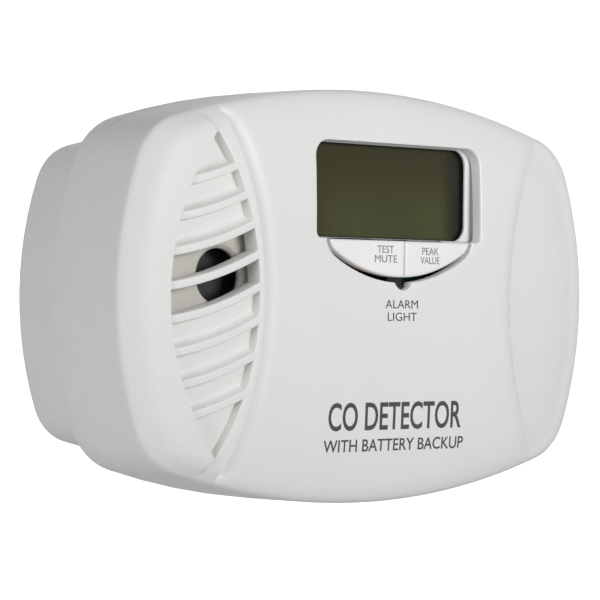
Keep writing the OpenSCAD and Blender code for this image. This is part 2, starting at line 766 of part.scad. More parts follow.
module wiper_contacts() color("#c9a25c") translate([0, 0, plug_z]) for (a = [-45, 135]) rotate([0, -a, 0]) {
  top = retainer_d + retainer_t;
  block(6.4, plug_hole_r + 2.4, top, top + contact_t, -1.5, 1.5);
  rod(7.5, 0, disc_top + plate_t + 0.1, top + 0.1, 1);
}

module ac_leads() color("#2b2b2d") for (s = [-1, 1]) {
  out = (plug_hole_r + 1.4) * cos(45);
  top = retainer_d + retainer_t + contact_t;
  reach = board_d - top;
  wire([for (t = [[0, 0], [0.1, 0], [0.3, 0.5], [0.5, 1.6], [0.7, 3], [0.9, 3.6], [1, 3.6]])
    [s * (out + t[1]), -top - t[0] * reach, plug_z - s * out + s * t[1]]], 0.9, 8, [0, 0, 1]);
}

module battery_door() color("#e6e6e2") difference() {
  union() {
    block(panel_left, door_right, door_d, door_d + door_t, door_low, door_top);
    for (z = knuckle_z) {
      upright(hinge_x, hinge_d, z - knuckle_len / 2, z + knuckle_len / 2, knuckle_r);
      block(hinge_x, panel_left + 0.1, door_d, door_d + door_t, z - knuckle_len / 2, z + knuckle_len / 2);
    }
    block(door_right - 0.1, door_right + 0.15, door_d + 0.6, door_d + 1.2, door_mid - 4, door_mid + 4);
  }
  for (z = knuckle_z) {
    upright(hinge_x, hinge_d, z - knuckle_len, z + knuckle_len, hinge_pin_r + run_gap);
  }
  difference() {
    rod(door_right - 5.5, door_mid, -past, door_d + 0.9, 5);
    for (x = [-1.6, 0, 1.6]) {
      groove = door_right - 5.8 + x;
      block(groove, groove + 0.6, door_d + 0.3, door_d + past, door_mid - 3, door_mid + 3);
    }
  }
}

module door_pin() color("#b4b6b8") {
  upright(hinge_x, hinge_d, door_low + 0.4, door_top - 0.4, hinge_pin_r);
}

// The upper cell has its button end to the right, the lower one to the left
module battery_cells() color("#4a4f55") for (i = [0, 1]) mirror([i, 0, 0]) {
  end = well_w / 2 - contact_t - dimple_h;
  axle(end - cell_len, end - 1.3, cell_d, cell_z[i], cell_r);
  axle(end - 1.4, end, cell_d, cell_z[i], 2.75);
}

module battery_plates() color("#c3c5c7") {
  wall = well_w / 2;
  for (i = [0, 1]) mirror([i, 0, 0]) {
    axle(wall - contact_t - dimple_h, wall - contact_t + 0.1, cell_d, cell_z[i], 2);
  }
  for (z = cell_z) {
    block(wall - contact_t, wall, well_d - 13, well_d, z - 5, z + 5);
    block(wall - contact_t, wall, well_d - 0.1, well_d + tab_len, z - 1.4, z + 1.4);
    block(-wall, -wall + contact_t, well_d - 13, well_d, z - 5, z + 5);
  }
  block(-wall, -wall + contact_t, cell_d - 2, cell_d + 2, cell_z[1], cell_z[0]);
}

// Conical springs, wound in four turns from the plate to the cell
module battery_springs() color("#aeb0b2") for (i = [0, 1]) mirror([i, 0, 0]) {
  from = -well_w / 2 + contact_t + 0.5;
  length = spring_room - 0.9 - 0.2;
  wire([for (k = [0:48]) let (t = k / 48, r = 5.6 - 2.6 * t)
    [from + length * t, -cell_d + r * cos(4 * turn * t), cell_z[i] + r * sin(4 * turn * t)]],
    0.4, 6, [1, 0, 0]);
}

module battery_leads() color("#a32f2c") for (z = cell_z) {
  x = well_w / 2 - contact_t / 2;
  start = well_d + tab_len;
  reach = board_d - start;
  wire([for (t = [[0, 0], [0.15, 0], [0.4, 0.8], [0.7, 1.7], [0.9, 2], [1, 2]])
    [x + t[1], -start - t[0] * reach, z]], 0.7, 8, [0, 0, 1]);
}

front_cover();
rear_cover();
cover_screws();
display_bezel();
display_window();
lcd_panel();
lcd_holder();
lcd_connector();
test_button();
peak_button();
switch_bodies();
test_plunger();
peak_plunger();
alarm_led();
alarm_light_pipe();
circuit_board();
board_screws();
microcontroller();
film_capacitor();
electrolytic_capacitors();
varistor();
fuse();
horn_coil();
horn_housing();
horn_base();
piezo_disc();
co_sensor();
plug_disc();
plug_blades();
plug_contacts();
plug_retainer();
retainer_screws();
wiper_contacts();
ac_leads();
battery_door();
door_pin();
battery_cells();
battery_plates();
battery_springs();
battery_leads();
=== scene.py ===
import math

import bmesh
import bpy
import numpy as np
from mathutils import Matrix, Vector
from mathutils.geometry import delaunay_2d_cdt
from mathutils.kdtree import KDTree


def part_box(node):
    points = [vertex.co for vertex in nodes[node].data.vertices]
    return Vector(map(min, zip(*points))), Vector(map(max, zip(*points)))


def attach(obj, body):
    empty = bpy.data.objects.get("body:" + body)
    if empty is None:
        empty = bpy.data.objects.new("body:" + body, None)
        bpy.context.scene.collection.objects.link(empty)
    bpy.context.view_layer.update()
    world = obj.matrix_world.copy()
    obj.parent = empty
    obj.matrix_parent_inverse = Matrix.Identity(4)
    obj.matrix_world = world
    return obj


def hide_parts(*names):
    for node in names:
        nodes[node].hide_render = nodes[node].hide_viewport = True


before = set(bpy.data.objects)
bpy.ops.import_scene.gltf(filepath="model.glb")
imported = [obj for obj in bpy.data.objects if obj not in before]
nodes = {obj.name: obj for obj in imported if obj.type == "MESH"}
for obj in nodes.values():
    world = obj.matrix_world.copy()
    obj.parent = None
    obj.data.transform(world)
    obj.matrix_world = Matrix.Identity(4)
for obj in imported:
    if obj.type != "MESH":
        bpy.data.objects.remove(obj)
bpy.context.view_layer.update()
mm = 0.001
print("frame loaded:", len(nodes), "nodes")


class Sock:
    # A node's output that Python's own operators work on
    def __init__(self, tree, out):
        self.tree = tree
        self.out = out

    def maths(self, operation, *values):
        node = self.tree.nodes.new("ShaderNodeMath")
        node.operation = operation
        for place, value in zip(node.inputs, values):
            if isinstance(value, Sock):
                self.tree.links.new(value.out, place)
            else:
                place.default_value = value
        return Sock(self.tree, node.outputs[0])

    def __add__(self, other):
        return self.maths("ADD", self, other)

    def __radd__(self, other):
        return self.maths("ADD", other, self)

    def __sub__(self, other):
        return self.maths("SUBTRACT", self, other)

    def __mul__(self, other):
        return self.maths("MULTIPLY", self, other)

    def __rmul__(self, other):
        return self.maths("MULTIPLY", other, self)

    def __abs__(self):
        return self.maths("ABSOLUTE", self)

    def over(self, least):
        return self.maths("MAXIMUM", self, least)

    def power(self, exponent):
        return self.maths("POWER", self, exponent)

    def wave(self):
        return self.maths("SINE", self)


class Finish:
    # A material with one Principled shader; add() makes any node, its settings first
    def __init__(self, name, **fixed):
        self.material = bpy.data.materials.new(name)
        self.material.use_nodes = True
        self.tree = self.material.node_tree
        self.shader = self.tree.nodes["Principled BSDF"]
        self.place = self.add("ShaderNodeTexCoord", out="Object")
        for socket, value in fixed.items():
            self.shader.inputs[socket.replace("_", " ")].default_value = value

    def add(self, kind, settings=None, sockets=None, out=0):
        node = self.tree.nodes.new(kind)
        for name, value in (settings or {}).items():
            setattr(node, name, value)
        for name, value in (sockets or {}).items():
            if isinstance(value, Sock):
                self.tree.links.new(value.out, node.inputs[name])
            else:
                node.inputs[name].default_value = value
        return Sock(self.tree, node.outputs[out])

    def noise(self, size, detail=3, rough=0.5, place=None):
        return self.add("ShaderNodeTexNoise", {}, {"Vector": place or self.place,
                        "Scale": 1 / size, "Detail": detail, "Roughness": rough})

    def axes(self):
        node = self.tree.nodes.new("ShaderNodeSeparateXYZ")
        self.tree.links.new(self.place.out, node.inputs[0])
        return [Sock(self.tree, o) for o in node.outputs]

    def between(self, value, low, high):
        # 0 at low, 1 at high, smooth on the way
        return self.add("ShaderNodeMapRange", {"interpolation_type": "SMOOTHSTEP"},
                        {"Value": value, "From Min": low, "From Max": high})

    def mix(self, factor, first, second):
        return self.add("ShaderNodeMix", {"data_type": "RGBA"},
                        {"Factor": factor, 6: first, 7: second}, out=2)

    def feed(self, **links):
        for socket, value in links.items():
            self.tree.links.new(value.out, self.shader.inputs[socket.replace("_", " ")])
        return self

    def bump(self, height, distance, strength=1.0):
        return self.feed(Normal=self.add("ShaderNodeBump", {}, {
            "Height": height, "Distance": distance, "Strength": strength}))


def rgb(colour, shade=1.0):
    return (colour[0] * shade, colour[1] * shade, colour[2] * shade, 1)


def moulded(name, colour, roughness=0.45, grain=0.35, depth=0.012, sheen=0.3, change=0.03):
    # Injection moulded plastic: faint cloudiness and a fine eroded grain, sizes in millimetres
    f = Finish(name, Specular_IOR_Level=sheen)
    cloud = f.noise(14 * mm, 2)
    speck = f.noise(grain * mm, 3, 0.6)
    f.feed(Base_Color=f.mix(f.between(cloud, 0.3, 0.7), rgb(colour, 1 - change), rgb(colour)),
           Roughness=roughness + 0.12 * (speck - 0.5))
    return f.bump(speck, depth * mm).material


def coverFinish(name, colour):
    # The pods carry a coarser grain than the smooth middle, by the mesh's own grain attribute
    look = {"smooth": 0.34, "rough": 0.5, "grain": 0.42, "fine": 0.16, "depth": 0.016}
    f = Finish(name, Specular_IOR_Level=0.35)
    pod = f.add("ShaderNodeAttribute", {"attribute_name": "grain"}, out="Fac")
    cloud = f.noise(22 * mm, 2)
    speck = f.noise(look["grain"] * mm, 3, 0.55)
    fine = f.noise(look["fine"] * mm, 2)
    tone = f.between(cloud, 0.3, 0.7)
    tint = f.mix(tone, rgb(colour, 0.985), rgb(colour))
    f.feed(Base_Color=f.mix(pod * f.between(speck, 0.62, 0.4) * 0.5, tint, rgb(colour, 0.95)),
           Roughness=look["smooth"] + (look["rough"] - look["smooth"]) * pod + 0.1 * (speck - 0.5))
    return f.bump((0.12 + 0.88 * pod) * speck + 0.2 * fine, look["depth"] * mm).material


def metal(name, colour, roughness=0.3, brushed=0.5, along=0):
    # Plated metal with fine drawn lines along one axis
    f = Finish(name, Metallic=1.0)
    stretch = [40, 40, 40]
    stretch[along] = 1.5
    drawn = f.add("ShaderNodeMapping", {}, {"Vector": f.place, "Scale": stretch})
    lines = f.noise(10 * mm, 4, 0.6, drawn)
    stain = f.noise(3 * mm, 3)
    f.feed(Base_Color=f.mix(f.between(stain, 0.35, 0.7), rgb(colour, 0.86), rgb(colour)),
           Roughness=roughness + 0.25 * brushed * (lines - 0.4))
    return f.bump(lines, 0.006 * mm).material


def liquidCrystal(name, low, high):
    # Dark olive glass that turns black at its right edge and along a thin border
    look = {"fade": 7.0, "border": 0.55, "corner": 3.2}
    f = Finish(name, Roughness=0.22, Specular_IOR_Level=0.5, Coat_Weight=0.2, Coat_Roughness=0.06)
    x, _, z = f.axes()
    midX, midZ = (low[0] + high[0]) / 2, (low[1] + high[1]) / 2
    halfX, halfZ = (high[0] - low[0]) / 2, (high[1] - low[1]) / 2
    r = look["corner"] * mm
    dx = (abs(x - midX) - (halfX - r)).over(0)
    dz = (abs(z - midZ) - (halfZ - r)).over(0)
    edge = (dx * dx + dz * dz).power(0.5) - r
    border = f.between(edge, -look["border"] * mm, -0.15 * look["border"] * mm)
    fade = f.between(x, high[0] - look["fade"] * mm, high[0] - 1.2 * mm)
    left = f.between(x, low[0] + 9 * mm, low[0])
    cloud = f.noise(16 * mm, 2)
    olive = f.mix(f.between(z, high[1], low[1]), (0.056, 0.050, 0.009, 1), (0.105, 0.110, 0.034, 1))
    olive = f.mix(left * 0.75, olive, (0.062, 0.040, 0.004, 1))
    olive = f.mix(f.between(cloud, 0.35, 0.65) * 0.25, olive, (0.05, 0.05, 0.024, 1))
    dark = f.mix(fade, olive, (0.004, 0.006, 0.002, 1))
    f.feed(Base_Color=f.mix(border, dark, (0.003, 0.003, 0.002, 1)),
           Roughness=0.2 + 0.1 * cloud)
    return f.material


def clearSheet(name, colour):
    f = Finish(name, Roughness=0.08, Alpha=0.12, Specular_IOR_Level=0.5)
    dust = f.noise(1.5 * mm, 2)
    f.feed(Base_Color=f.mix(f.between(dust, 0.7, 0.85), rgb(colour), rgb(colour, 2.5)))
    return f.material


def ink(name, colour):
    f = Finish(name, Roughness=0.55, Specular_IOR_Level=0.2)
    worn = f.noise(0.25 * mm, 3)
    f.feed(Base_Color=f.mix(f.between(worn, 0.5, 0.75), rgb(colour), rgb(colour, 1.5)))
    return f.material


def solderMask(name, colour):
    # Green lacquer over faint copper tracks
    f = Finish(name, Roughness=0.3, Specular_IOR_Level=0.5)
    tracks = f.add("ShaderNodeTexBrick", {"offset": 0.37}, {"Vector": f.place, "Scale": 60.0,
                   "Color1": rgb(colour), "Color2": rgb(colour, 0.8), "Mortar": rgb(colour, 2.2),
                   "Mortar Size": 0.03, "Brick Width": 0.9, "Row Height": 0.3}, out="Color")
    f.feed(Base_Color=tracks)
    return f.bump(f.noise(1.2 * mm, 2), 0.01 * mm).material


def banded(name, base, band, axis, width, wide=0.3, roughness=0.3):
    # Sleeve or body with bands across one axis
    f = Finish(name, Roughness=roughness, Specular_IOR_Level=0.5)
    along = f.axes()[axis]
    phase = (along * (math.tau / (width * mm))).wave()
    mark = f.between(phase, 1 - wide, 1.02 - wide)
    wear = f.noise(2 * mm, 3)
    f.feed(Base_Color=f.mix(mark, rgb(base), rgb(band)), Roughness=roughness + 0.15 * (wear - 0.5))
    return f.bump(wear, 0.01 * mm).material


def rubber(name, colour):
    f = Finish(name, Specular_IOR_Level=0.25)
    dust = f.noise(0.5 * mm, 4, 0.65)
    f.feed(Base_Color=f.mix(f.between(dust, 0.45, 0.8), rgb(colour), rgb(colour, 2.2)),
           Roughness=0.62 + 0.2 * (dust - 0.5))
    return f.bump(dust, 0.02 * mm).material


def smoothStep(value):
    t = np.clip(value, 0, 1)
    return t * t * (3 - 2 * t)


def quarterRound(distance, radius):
    # How far a rounded rim has dropped at a distance from its edge, as a share of its radius
    t = np.clip(1 - distance / radius, 0, 1)
    return 1 - np.sqrt(1 - t * t)


def crossing(firstCentre, firstRadius, secondCentre, secondRadius, near):
    # Where two circles meet, the point that lies nearest to one given
    a, b = Vector(firstCentre), Vector(secondCentre)
    gap = b - a
    along = (firstRadius ** 2 - secondRadius ** 2 + gap.length_squared) / (2 * gap.length)
    across = math.sqrt(max(firstRadius ** 2 - along ** 2, 0))
    foot = a + gap.normalized() * along
    side = Vector((-gap.y, gap.x)).normalized() * across
    return min((foot + side, foot - side), key=lambda p: (p - Vector(near)).length)


def arcBetween(centre, start, end, step):
    # Points on a circle from start up to, but not at, end, the short way round
    centre = Vector(centre)
    a, b = start - centre, end - centre
    turn = (math.atan2(b.y, b.x) - math.atan2(a.y, a.x) + math.pi) % math.tau - math.pi
    count = max(1, round(abs(turn) * a.length / step))
    return [centre + Matrix.Rotation(turn * i / count, 2) @ a for i in range(count)]


def lineBetween(start, end, step):
    count = max(1, round((end - start).length / step))
    return [start.lerp(end, i / count) for i in range(count)]


def loosePoints(low, high, step, rows, clear):
    # A staggered grid of points that keep clear of the rows
    tree = KDTree(sum(len(r) for r in rows))
    for i, p in enumerate(p for r in rows for p in r):
        tree.insert((p[0], p[1], 0), i)
    tree.balance()
    found = []
    z, odd = low[1], False
    while z < high[1]:
        x = low[0] + (step / 2 if odd else 0)
        while x < high[0]:
            if tree.find((x, z, 0))[2] > clear:
                found.append(Vector((x, z)))
            x += step
        z += step * 0.866
        odd = not odd
    return found


def planMesh(loops, lines, loose, outside):
    # Triangles over the plan that keep the given rows as edges, without those that are outside
    points, edges = [], []
    for rows, closed in ((loops, True), (lines, False)):
        for row in rows:
            first = len(points)
            points += [Vector(p) for p in row]
            edges += [(first + i, first + i + 1) for i in range(len(row) - 1)]
            if closed:
                edges.append((len(points) - 1, first))
    points += loose
    plan, _, triangles, *_ = delaunay_2d_cdt(points, edges, [], 0, 1e-4, False)
    where = np.array(plan)
    middles = where[np.array(triangles)].mean(axis=1)
    drop = outside(middles[:, 0], middles[:, 1])
    bm = bmesh.new()
    corners = [bm.verts.new((p[0], 0, p[1])) for p in plan]
    for t, gone in zip(triangles, drop):
        if not gone:
            bm.faces.new([corners[i] for i in t])
    bmesh.ops.delete(bm, geom=[v for v in bm.verts if not v.link_faces], context="VERTS")
    return bm


def setDepths(verts, depthAt):
    x = np.array([v.co.x for v in verts])
    z = np.array([v.co.z for v in verts])
    for v, d in zip(verts, depthAt(x, z)):
        v.co.y = -d


def rimEdges(bm, wanted=lambda p: True):
    return [e for e in bm.edges if e.is_boundary and wanted((e.verts[0].co + e.verts[1].co) / 2)]


def pulled(bm, edges, place):
    # Extrudes a rim and puts its new points where place says
    new = bmesh.ops.extrude_edge_only(bm, edges=edges)["geom"]
    for v in [g for g in new if isinstance(g, bmesh.types.BMVert)]:
        v.co = place(v.co)
    return [g for g in new if isinstance(g, bmesh.types.BMEdge)]


def finished(bm, name, finish, angle=32, scale=mm):
    # Closes a bmesh into an object at the origin with its normals outwards
    bmesh.ops.recalc_face_normals(bm, faces=bm.faces)
    bmesh.ops.scale(bm, vec=(scale, scale, scale), verts=bm.verts)
    mesh = bpy.data.meshes.new(name)
    bm.to_mesh(mesh)
    bm.free()
    piece = bpy.data.objects.new(name, mesh)
    bpy.context.scene.collection.objects.link(piece)
    mesh.materials.append(finish)
    mesh.shade_smooth()
    mesh.set_sharp_from_angle(angle=math.radians(angle))
    return piece


def openEdges(piece):
    bm = bmesh.new()
    bm.from_mesh(piece.data)
    count = sum(1 for e in bm.edges if not e.is_manifold)
    bm.free()
    return count


# Sizes of the cover are in millimetres; depths run from the wall towards the front
coverLow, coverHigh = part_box("front_cover")
cover = {
    "topRadius": 180, "sideRadius": 75, "cornerRadius": 14,   # arcs of the outline
    "lean": 0.2,            # how much the flank leans in
    "crownDepth": 42,       # where the flank ends
    "crown": 5.3,           # bulge of the face
    "sidePower": 3.7, "topPower": 2.96,
    "wall": 2.4,
    "podRise": 0.5,         # left pod above the band
    "bandRise": 0.65,       # band and bars above the face
    "rightDrop": 0.35,      # right pod below the face
    "foot": 1.5, "footWide": 4.5,         # how the face dips towards the band
    "podFoot": 0.45, "podFootWide": 3,    # and towards the right pod
}
grille = {
    "leftCentre": (-5.7, 0), "leftRadius": 49.5,
    "rightCentre": (-89.1, 0), "rightRadius": 55.9,
    "bandCentre": (-104.7, 0), "bandRadius": 73.0,
    "bars": 8, "pitch": 6.57, "thick": 1.7, "radius": 75.5,
    "firstTop": 23.7, "markX": -47.4, "barX": -66.3,
    "deep": 1.9, "backing": 44.0, "open": (3, 4),
    "rim": 0.3,
    "upperTip": (-44, 32), "lowerTip": (-44, -30),   # near where its two sides meet
}
rightPod = {"centre": (109.5, 0), "radius": 70}
display = {
    "x": 6.1, "midZ": 21.85, "halfW": 23.65, "halfH": 9.95, "corner": 3.5, "lowCorner": 1.2,
    "smileZ": 39.0, "smileRadius": 36.0, "smileTop": 12.6, "smileHalf": 21.0, "smileEnd": 5.0,
    "notch": (6.9, 4.2), "notchRadius": 2.7, "rim": 0.45,
}

width = (coverHigh.x - coverLow.x) / mm
height = (coverHigh.z - coverLow.z) / mm
seamDepth = -coverHigh.y / mm


def outlineQuarter(inset):
    # Upper right quarter of the outline: a side arc, a corner arc and a top arc
    w, h = width / 2 - inset, height / 2 - inset
    rt, rs, rc = (cover[k] - inset for k in ("topRadius", "sideRadius", "cornerRadius"))
    side, top = Vector((w - rs, 0)), Vector((0, h - rt))
    corner = crossing(top, rt - rc, side, rs - rc, (w, h))
    fromSide, fromTop = corner - side, corner - top
    joinSide = side + fromSide.normalized() * rs
    joinTop = top + fromTop.normalized() * rt
    points = arcBetween(side, Vector((w, 0)), joinSide, 0.25)
    points += arcBetween(corner, joinSide, joinTop, 0.25)
    points += arcBetween(top, joinTop, Vector((0, h)), 0.25)
    return np.array(points + [Vector((0, h))])


outlineTables = {}


def outlineRadius(x, z, inset):
    # Distance from the centre to the outline in the direction of a point
    if inset not in outlineTables:
        q = outlineQuarter(inset)
        outlineTables[inset] = np.arctan2(q[:, 1], q[:, 0]), np.hypot(q[:, 0], q[:, 1])
    return np.interp(np.arctan2(np.abs(z), np.abs(x)), *outlineTables[inset])


def outlineLoop(inset, count=324):
    # The whole outline, its points a steady distance apart, at directions that no inset changes
    q = outlineQuarter(0)
    run = np.concatenate([[0], np.cumsum(np.hypot(*np.diff(q, axis=0).T))])
    quarter = count // 4
    picks = np.interp(np.linspace(0, run[-1], quarter + 1), run, np.arctan2(q[:, 1], q[:, 0]))[:-1]
    angles = np.concatenate([picks, math.pi - picks[::-1], math.pi + picks, math.tau - picks[::-1]])
    angles = np.unique(np.round(np.concatenate([angles, [math.pi / 2, math.pi * 1.5]]) % math.tau, 9))
    radius = outlineRadius(np.cos(angles), np.sin(angles), inset)
    return [Vector((r * math.cos(a), r * math.sin(a))) for a, r in zip(angles, radius)]


def reach(x, z, inset):
    # 0 at the centre, 1 on the outline; a point within a hair of the outline counts as on it
    share = np.hypot(x, z) / outlineRadius(x, z, inset)
    return np.where(share > 0.9998, 1, share)


def domeDepth(x, z):
    s = np.clip(reach(x, z, cover["lean"]), 0, 1)
    return cover["crownDepth"] + cover["crown"] * (1 - s ** cover["sidePower"]) ** (1 / cover["topPower"])


def fromCircle(x, z, centre, radius):
    return np.hypot(x - centre[0], z - centre[1]) - radius


def barCentre(k):
    mark = grille["markX"] - grille["barX"]
    rise = math.sqrt(grille["radius"] ** 2 - mark ** 2)
    return Vector((grille["barX"], grille["firstTop"] - k * grille["pitch"] + rise))


def grilleDistances(x, z):
    # Inside distances to the grille's two sides, to the bar above and below, and to the bars
    left = -fromCircle(x, z, grille["leftCentre"], grille["leftRadius"])
    right = -fromCircle(x, z, grille["rightCentre"], grille["rightRadius"])
    above = np.full_like(x, 99.0)
    below = np.full_like(x, 99.0)
    inBar = np.full_like(x, -99.0)
    for k in range(grille["bars"]):
        r = fromCircle(x, z, barCentre(k), 0)
        under = r - grille["radius"] - grille["thick"]
        over = grille["radius"] - r
        above = np.where(under > 0, np.minimum(above, under), above)
        below = np.where(over > 0, np.minimum(below, over), below)
        inBar = np.maximum(inBar, np.minimum(-over, -under))
    return left, right, above, below, inBar


def podShare(x, z):
    # 1 on the left pod, 0 off it
    left = fromCircle(x, z, grille["leftCentre"], grille["leftRadius"])
    right = fromCircle(x, z, grille["rightCentre"], grille["rightRadius"])
    return smoothStep(np.minimum(-right, left) / 0.4)


def rightShare(x, z):
    return smoothStep(-fromCircle(x, z, rightPod["centre"], rightPod["radius"]) / 0.3)


def relief(x, z):
    band = fromCircle(x, z, grille["bandCentre"], grille["bandRadius"])
    level = cover["bandRise"] * smoothStep(-band / 0.35) + cover["podRise"] * podShare(x, z)
    near = np.clip(1 - (band + 0.35) / cover["footWide"], 0, 1) ** 2
    level -= cover["foot"] * np.where(band > -0.35, near, 0) * smoothStep((band + 0.35) / 0.35)
    pod = fromCircle(x, z, rightPod["centre"], rightPod["radius"])
    level -= cover["podFoot"] * np.clip(1 - np.maximum(pod, 0) / cover["podFootWide"], 0, 1) ** 2
    level -= cover["rightDrop"] * rightShare(x, z)
    return level * (1 - smoothStep((reach(x, z, cover["lean"]) - 0.925) / 0.06))


def smileEnds(radius, centreZ, half, end):
    # Centres of the two round ends of a disc that is cut to a half width
    drop = math.sqrt((radius - end) ** 2 - (half - end) ** 2)
    return [Vector((display["x"] + i * (half - end), centreZ - drop)) for i in (-1, 1)]


def smileDistance(x, z, radius, centreZ, half, end):
    # Distance outside the disc with round ends, below its widest part
    ends = smileEnds(radius, centreZ, half, end)
    disc = fromCircle(x, z, (display["x"], centreZ), radius)
    rounded = np.minimum(fromCircle(x, z, ends[0], end), fromCircle(x, z, ends[1], end))
    beside = np.abs(x - display["x"])
    join = (half - end) * radius / (radius - end)
    sideways = np.where(z > ends[0].y, beside - half, np.where(beside > join, rounded, disc))
    return np.maximum(disc, sideways)


def displayDistance(x, z):
    # Distance outside the opening for the display, the buttons and the light
    corner = np.where(z > display["midZ"], display["corner"], display["lowCorner"])
    dx = np.maximum(np.abs(x - display["x"]) - (display["halfW"] - corner), 0)
    dz = np.maximum(np.abs(z - display["midZ"]) - (display["halfH"] - corner), 0)
    window = np.hypot(dx, dz) - corner
    inner = (np.abs(x - display["x"]) < display["halfW"]) & (np.abs(z - display["midZ"]) < display["halfH"])
    window = np.where(inner & (dx + dz == 0), -1, window)
    smile = smileDistance(x, z, *(display[k] for k in ("smileRadius", "smileZ", "smileHalf", "smileEnd")))
    smile = np.maximum(smile, z - display["smileTop"])
    notch = fromCircle(x, z, display["notch"], display["notchRadius"])
    return np.minimum(np.minimum(window, smile), notch)


def faceDepth(x, z):
    # Depth of the cover's outside anywhere on its face
    depth = domeDepth(x, z) + relief(x, z)
    left, right, above, below, inBar = grilleDistances(x, z)
    away = np.maximum(np.maximum(-left, -right), inBar)
    rim = grille["rim"]
    depth -= 0.8 * rim * quarterRound(np.maximum(away, 0), rim)
    wall = np.clip(np.minimum(np.minimum(left, right), above) / 0.3, 0, 1)
    scoop = np.clip(below / 1.2, 0, 1)
    scoop = np.sqrt(1 - (1 - scoop) ** 2)
    inside = away < 0
    floor = (grille["deep"] - 0.8 * rim) * wall * scoop
    depth = np.where(inside, depth - floor, depth)
    return depth - 0.9 * display["rim"] * quarterRound(np.maximum(displayDistance(x, z), 0), display["rim"])


def innerDepth(x, z):
    # Depth of the cover's inside, with a flat backing behind the grille
    inset = cover["wall"] + cover["lean"]
    s = np.clip(reach(x, z, inset), 0, 1)
    depth = cover["crownDepth"] - cover["wall"]
    depth = depth + cover["crown"] * (1 - s ** cover["sidePower"]) ** (1 / cover["topPower"])
    left, right, *_ = grilleDistances(x, z)
    backing = smoothStep((np.minimum(left, right) + 3) / 1.5)
    return depth + (np.minimum(depth, grille["backing"]) - depth) * backing


def pocketLoop(k, side, top, low, step=0.5):
    # Outline of the pocket above bar k, each edge moved outwards by its own amount
    leftC, rightC = Vector(grille["leftCentre"]), Vector(grille["rightCentre"])
    leftR, rightR = grille["leftRadius"] + side, grille["rightRadius"] + side
    level = grille["firstTop"] - k * grille["pitch"]
    around = Vector((grille["markX"] - 5, level)), Vector((grille["markX"] + 12, level + 3))
    corners = []
    if k > 0:
        upper = barCentre(k - 1), grille["radius"] + grille["thick"] - top
        corners.append((crossing(leftC, leftR, *upper, around[0] + Vector((0, 5))), leftC))
    else:
        corners.append((crossing(leftC, leftR, rightC, rightR, grille["upperTip"]), leftC))
    if k < grille["bars"]:
        lower = barCentre(k), grille["radius"] + low
        corners.append((crossing(leftC, leftR, *lower, around[0]), lower[0]))
        corners.append((crossing(rightC, rightR, *lower, around[1]), rightC))
    else:
        corners.append((crossing(leftC, leftR, rightC, rightR, grille["lowerTip"]), rightC))
    if k > 0:
        corners.append((crossing(rightC, rightR, *upper, around[1] + Vector((0, 5))), upper[0]))
    points = []
    for i, (start, centre) in enumerate(corners):
        points += arcBetween(centre, start, corners[(i + 1) % len(corners)][0], step)
    return points


def displayLoop(grow, step=0.6):
    # Outline of the display's opening with the button opening under it, moved outwards
    r, tight = display["corner"] + grow, display["lowCorner"] + grow
    halfX, halfZ = display["halfW"] - display["corner"], display["halfH"] - display["corner"]
    lowX, lowZ = display["halfW"] - display["lowCorner"], display["halfH"] - display["lowCorner"]
    smileC, smileR = Vector((display["x"], display["smileZ"])), display["smileRadius"] + grow
    notchC, notchR = Vector(display["notch"]), display["notchRadius"] + grow
    a, b = [Vector((display["x"] + i * halfX, display["midZ"] + halfZ)) for i in (-1, 1)]
    low = [Vector((display["x"] + i * lowX, display["midZ"] - lowZ)) for i in (-1, 1)]
    floor = display["midZ"] - display["halfH"] - grow
    endR = display["smileEnd"] + grow
    ends = smileEnds(smileR, display["smileZ"], display["smileHalf"] + grow, endR)
    reachX = math.sqrt(endR ** 2 - (ends[0].y - floor) ** 2)
    cusps = [Vector((e.x + i * reachX, floor)) for i, e in zip((-1, 1), ends)]
    joins = [smileC + (e - smileC).normalized() * smileR for e in ends]
    dips = [crossing(notchC, notchR, smileC, smileR, notchC + Vector((i * notchR, 0))) for i in (-1, 1)]
    across, up = Vector((r, 0)), Vector((0, r))
    lowAcross, lowDown = Vector((tight, 0)), Vector((0, -tight))
    points = lineBetween(low[0] - lowAcross, a - across, step)
    points += arcBetween(a, a - across, a + up, step / 2)
    points += lineBetween(a + up, b + up, step)
    points += arcBetween(b, b + up, b + across, step / 2)
    points += lineBetween(b + across, low[1] + lowAcross, step)
    points += arcBetween(low[1], low[1] + lowAcross, low[1] + lowDown, step / 2)
    points += lineBetween(low[1] + lowDown, cusps[1], step)
    points += arcBetween(ends[1], cusps[1], joins[1], step / 2)
    points += arcBetween(smileC, joins[1], dips[1], step)
    bottom = notchC - Vector((0, notchR))
    points += arcBetween(notchC, dips[1], bottom, step / 3) + arcBetween(notchC, bottom, dips[0], step / 3)
    points += arcBetween(smileC, dips[0], joins[0], step)
    points += arcBetween(ends[0], joins[0], cusps[0], step / 2)
    points += lineBetween(cusps[0], low[0] + lowDown, step)
    points += arcBetween(low[0], low[0] + lowDown, low[0] - lowAcross, step / 2)
    return points


def circleRun(centre, radius, zLow, zHigh, step, leftward=False):
    # The part of a circle between two heights, kept off the flank
    centre = Vector(centre)
    side = -1 if leftward else 1
    ends = [centre + Vector((side * math.sqrt(radius ** 2 - (z - centre.y) ** 2), z - centre.y))
            for z in (zLow, zHigh)]
    run = arcBetween(centre, ends[0], ends[1], step) + [ends[1]]
    return [p for p in run if reach(np.array([p.x]), np.array([p.y]), cover["lean"])[0] < 0.984]


def openSlots(x, z):
    # Inside one of the two gaps that go right through
    left, right, *_, inBar = grilleDistances(x, z)
    inside = (np.minimum(left, right) > 0) & (inBar < 0)
    found = np.zeros_like(x, bool)
    for k in grille["open"]:
        over = grille["radius"] - fromCircle(x, z, barCentre(k), 0)
        found |= inside & (over > 0) & (over < grille["pitch"] - grille["thick"] + 0.8)
    return found


